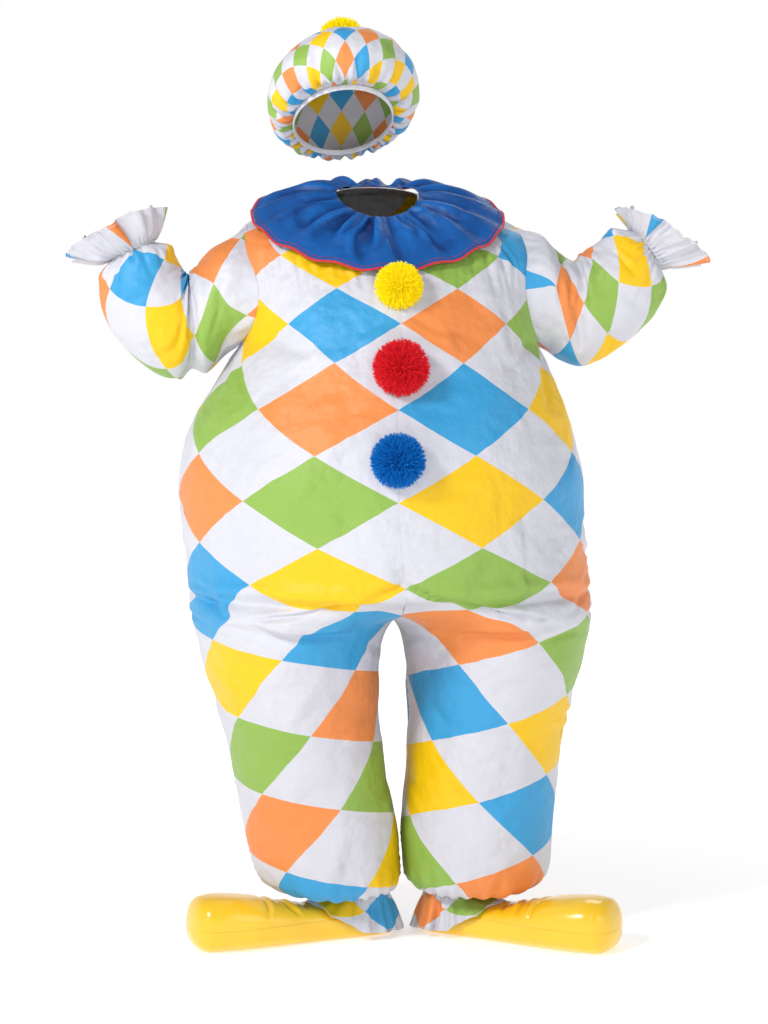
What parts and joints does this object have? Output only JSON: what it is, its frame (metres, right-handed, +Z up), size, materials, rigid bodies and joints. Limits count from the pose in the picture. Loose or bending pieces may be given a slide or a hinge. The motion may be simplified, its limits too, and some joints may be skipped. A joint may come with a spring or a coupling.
{
  "type": "inflatable clown costume",
  "caption": "Hollow blown-up clown jumpsuit of diamond-print cloth with ruffled collar, yarn pompoms, puffed cap and big overshoes, in its worn pose",
  "frame": {"origin": "between the wearer's shoulders, at the base of the neck, 1.4 m above the soles", "axes": "+Z is up, the front faces -Y, and the wearer's right side is -X"},
  "size_m": [1.2012, 0.7247, 1.7567],
  "materials": {
    "printed_cloth": "woven polyester printed with light blue, orange, green and yellow diamonds on white, soft sheen",
    "collar_cloth": "plain royal blue cloth, soft sheen",
    "binding_cloth": "narrow red binding",
    "yellow_yarn": "cut yarn, matt",
    "red_yarn": "cut yarn, matt",
    "blue_yarn": "cut yarn, matt",
    "white_elastic": "white covered elastic",
    "yellow_vinyl": "glossy yellow vinyl"
  },
  "bodies": {
    "root": {"front_right": "printed_cloth", "front_left": "printed_cloth", "back_right": "printed_cloth", "back_left": "printed_cloth", "sleeve_right": "printed_cloth", "sleeve_left": "printed_cloth", "wrist_frill_right": "printed_cloth", "wrist_frill_left": "printed_cloth", "ankle_frill_right": "printed_cloth", "ankle_frill_left": "printed_cloth", "collar": "collar_cloth", "collar_binding": "binding_cloth", "pompom_yellow": "yellow_yarn", "pompom_red": "red_yarn", "pompom_blue": "blue_yarn", "cap_crown": "printed_cloth", "cap_band": "white_elastic", "cap_pompom": "yellow_yarn", "shoe_upper_right": "yellow_vinyl", "shoe_upper_left": "yellow_vinyl", "shoe_sole_right": "yellow_vinyl", "shoe_sole_left": "yellow_vinyl"}
  },
  "joints": []
}
